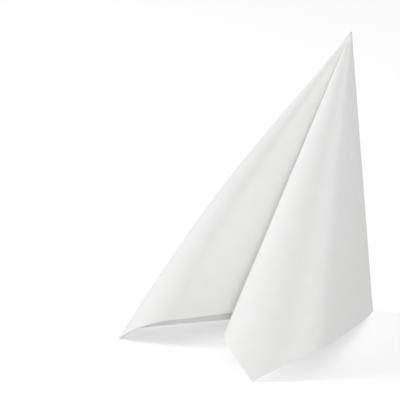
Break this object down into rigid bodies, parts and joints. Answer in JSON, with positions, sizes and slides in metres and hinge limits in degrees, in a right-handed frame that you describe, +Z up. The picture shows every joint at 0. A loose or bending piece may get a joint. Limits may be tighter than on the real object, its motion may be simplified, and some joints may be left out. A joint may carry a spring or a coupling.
{
  "type": "folded paper napkin",
  "caption": "White airlaid paper dinner napkin folded into a standing point, with two softly rolled legs that open from an upright back crease",
  "frame": {"origin": "foot of the upright back crease, on the table", "axes": "+Z up; the two legs open towards -Y; the right leg, the larger roll, goes towards +X and the left leg towards -X"},
  "size_m": [0.1425, 0.1948, 0.1975],
  "materials": {
    "paper": "matte white airlaid paper"
  },
  "bodies": {
    "root": {"napkin": "paper"}
  },
  "joints": []
}
